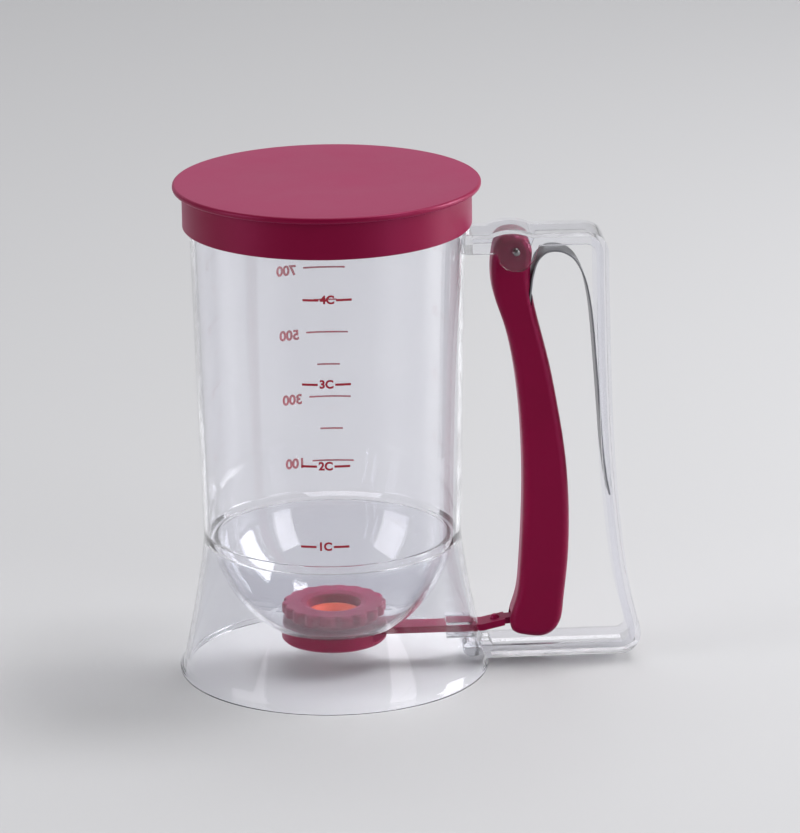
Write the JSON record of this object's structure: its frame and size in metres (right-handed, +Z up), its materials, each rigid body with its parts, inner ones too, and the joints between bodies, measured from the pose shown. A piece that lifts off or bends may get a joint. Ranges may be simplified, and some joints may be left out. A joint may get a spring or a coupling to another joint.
{
  "type": "pancake batter dispenser",
  "caption": "Clear measuring jug with a round-bottomed bowl, press-on lid and a squeeze trigger in a channel handle that slides a plate under the bowl's outlet.",
  "frame": {"origin": "centre of the foot ring on the plane the jug stands on", "axes": "+Z up along the jug's axis, +X from the axis towards the handle, +Y to the left of someone who faces along +X"},
  "size_m": [0.178, 0.1196, 0.193],
  "materials": {
    "clear_plastic": "clear moulded plastic, polished",
    "raspberry_plastic": "dark raspberry moulded plastic, satin gloss",
    "orange_rubber": "soft orange silicone, matte",
    "spring_steel": "cold-rolled spring steel strip",
    "pin_steel": "bright steel with a domed end"
  },
  "bodies": {
    "jug": {"jug_body": "clear_plastic", "handle_frame": "clear_plastic", "pivot_pin": "pin_steel", "valve_housing": "raspberry_plastic", "outlet_seal": "orange_rubber", "valve_collar": "raspberry_plastic"},
    "trigger": {"trigger": "raspberry_plastic", "leaf_spring": "spring_steel"},
    "slide": {"slide_arm": "raspberry_plastic"},
    "lid": {"lid": "raspberry_plastic"}
  },
  "joints": [
    {"name": "trigger_pivot", "type": "hinge", "parent": "jug", "child": "trigger", "pos_m": [0.071, 0, 0.165], "axis": [0, -1, 0], "range_deg": [0, 7], "stiffness_Nm_per_rad": 3, "springref_deg": -5.73, "deforming": ["leaf_spring"]},
    {"name": "outlet_slide", "type": "slide", "parent": "jug", "child": "slide", "axis": [1, 0, 0], "range_m": [0, 0.0183]},
    {"name": "lid_lift", "type": "slide", "parent": "jug", "child": "lid", "axis": [0, 0, 1], "range_m": [0, 0.04]}
  ],
  "couplings": [
    {"joint": "outlet_slide", "follows": "trigger_pivot", "m_per_rad": 0.1484}
  ]
}
